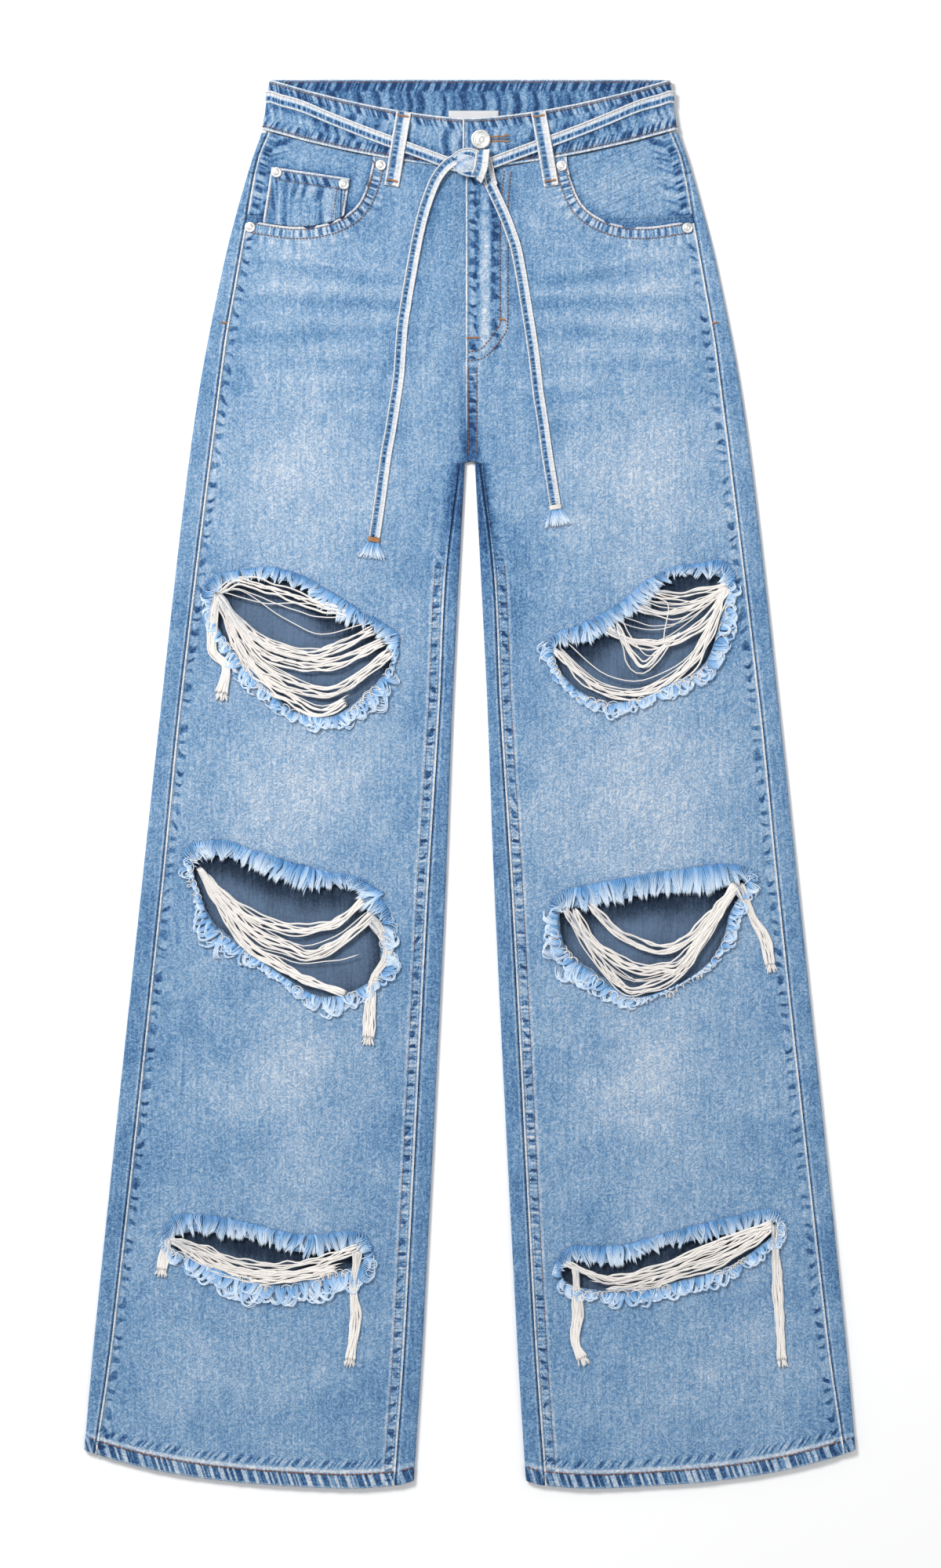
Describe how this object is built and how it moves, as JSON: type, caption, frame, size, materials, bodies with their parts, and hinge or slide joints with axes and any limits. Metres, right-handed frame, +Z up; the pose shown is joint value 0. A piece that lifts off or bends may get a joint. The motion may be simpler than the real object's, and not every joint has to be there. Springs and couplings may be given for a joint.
{
  "type": "ripped wide-leg denim jeans with a denim tie belt, laid flat",
  "caption": "Light-wash wide-leg jeans laid flat, face up, with frayed rips on both legs, turned-up hems and a knotted denim tie belt through the loops.",
  "frame": {"origin": "on the surface the jeans lie on, under the middle of their bounding box", "axes": "+Y from the hems to the waist, +X towards the wearer's left, +Z up from the surface, out of the front of the jeans"},
  "size_m": [0.616, 1.1242, 0.0188],
  "materials": {
    "denim": "light-wash blue cotton twill, stone-washed, faded on thighs, knees and shins, puckered along the seams",
    "waistband_denim": "light-wash blue cotton twill, darker and unfaded on its inner face, rust and ochre topstitching",
    "tie_denim": "light-wash blue denim strip with raised pale edges and dark puckers",
    "frayed_warp": "loose sky-blue cotton yarn, matt",
    "white_thread": "loose undyed warm-white cotton yarn, matt",
    "copper_thread": "copper-brown wound thread",
    "silver_metal": "pale silver plated metal, lightly rubbed",
    "label_tape": "blank woven tape, pale grey-white"
  },
  "bodies": {
    "root": {"front_right": "denim", "front_left": "denim", "back_right": "denim", "back_left": "denim", "yoke_right": "denim", "yoke_left": "denim", "back_pocket_right": "denim", "back_pocket_left": "denim", "pocket_facing_right": "denim", "pocket_facing_left": "denim", "coin_pocket": "denim", "waistband": "waistband_denim", "label": "label_tape", "belt_loop_front_right": "denim", "belt_loop_front_left": "denim", "belt_loop_back_right": "denim", "belt_loop_back_centre": "denim", "belt_loop_back_left": "denim", "tie_belt": "tie_denim", "tie_knot": "tie_denim", "tie_end_right": "tie_denim", "tie_whipping_right": "copper_thread", "tie_tassel_right": "frayed_warp", "tie_end_left": "tie_denim", "tie_whipping_left": "white_thread", "tie_tassel_left": "frayed_warp", "button": "silver_metal", "rivet_pocket_right_inner": "silver_metal", "rivet_pocket_left_inner": "silver_metal", "rivet_pocket_right_outer": "silver_metal", "rivet_pocket_left_outer": "silver_metal", "rivet_coin_outer": "silver_metal", "rivet_coin_inner": "silver_metal", "fray_right_thigh": "frayed_warp", "threads_right_thigh": "white_thread", "fray_left_thigh": "frayed_warp", "threads_left_thigh": "white_thread", "fray_right_knee": "frayed_warp", "threads_right_knee": "white_thread", "fray_left_knee": "frayed_warp", "threads_left_knee": "white_thread", "fray_right_shin": "frayed_warp", "threads_right_shin": "white_thread", "fray_left_shin": "frayed_warp", "threads_left_shin": "white_thread"}
  },
  "joints": []
}
